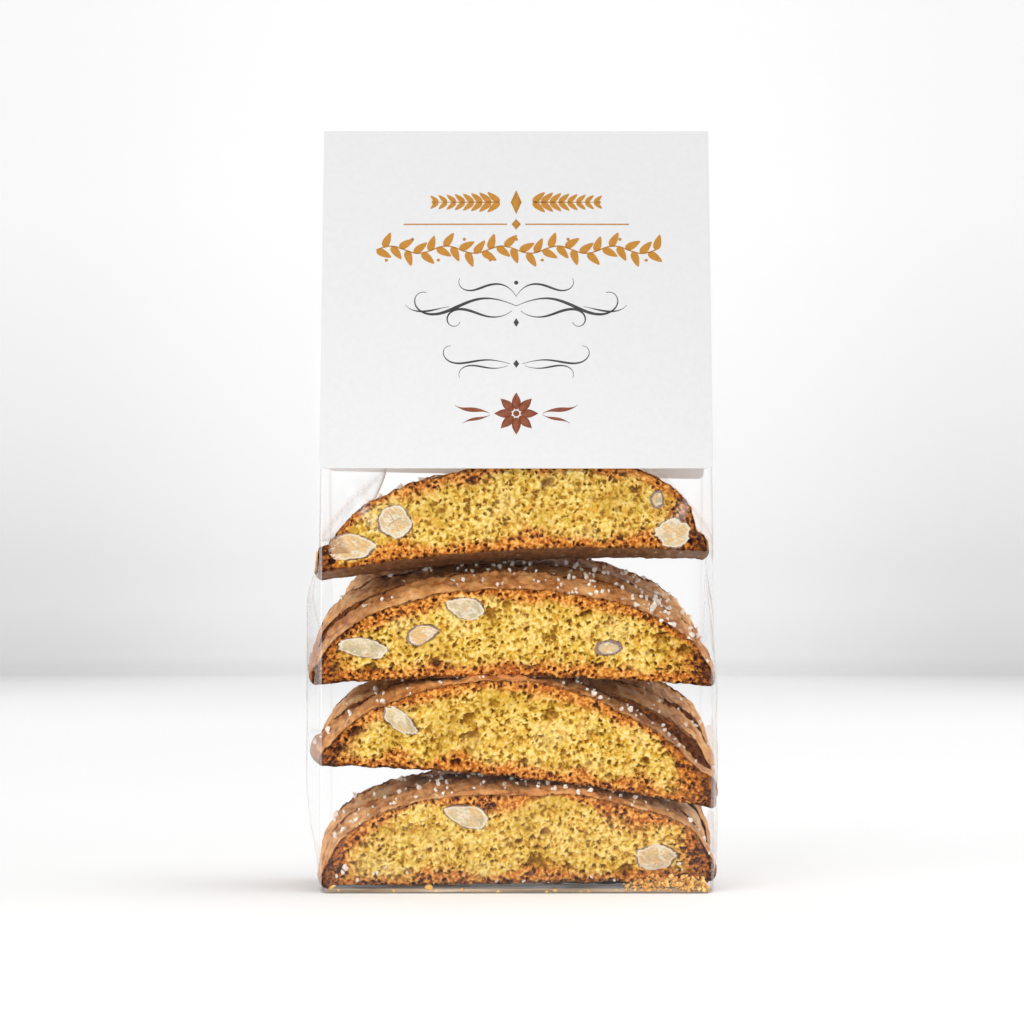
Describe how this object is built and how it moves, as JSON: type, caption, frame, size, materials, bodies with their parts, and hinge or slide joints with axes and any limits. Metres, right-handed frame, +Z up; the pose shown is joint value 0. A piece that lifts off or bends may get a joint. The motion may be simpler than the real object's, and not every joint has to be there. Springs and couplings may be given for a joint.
{
  "type": "bag of biscotti",
  "caption": "Clear block-bottom film bag of sliced almond biscotti, standing upright, closed under a folded card header.",
  "frame": {"origin": "middle of the flat bottom, under the middle of the bounding box", "axes": "+Z up, -Y towards the front panel with the printed side of the header, +X to the right as seen from the front"},
  "size_m": [0.1082, 0.058, 0.1989],
  "materials": {
    "film": "clear thin polypropylene film, glossy, creased",
    "card": "smooth uncoated white card",
    "gold_print": "flat gold-coloured ink",
    "dark_print": "flat charcoal ink",
    "brown_print": "flat brown ink",
    "biscuit": "open baked crumb, yellow inside, toasted brown at the crust",
    "almond": "cut almond kernel, matte, with a thin brown skin",
    "sugar": "coarse white sugar crystals",
    "crumb": "loose baked crumbs"
  },
  "bodies": {
    "root": {"biscuit_bag": "film", "header_card": "card"}
  },
  "joints": []
}
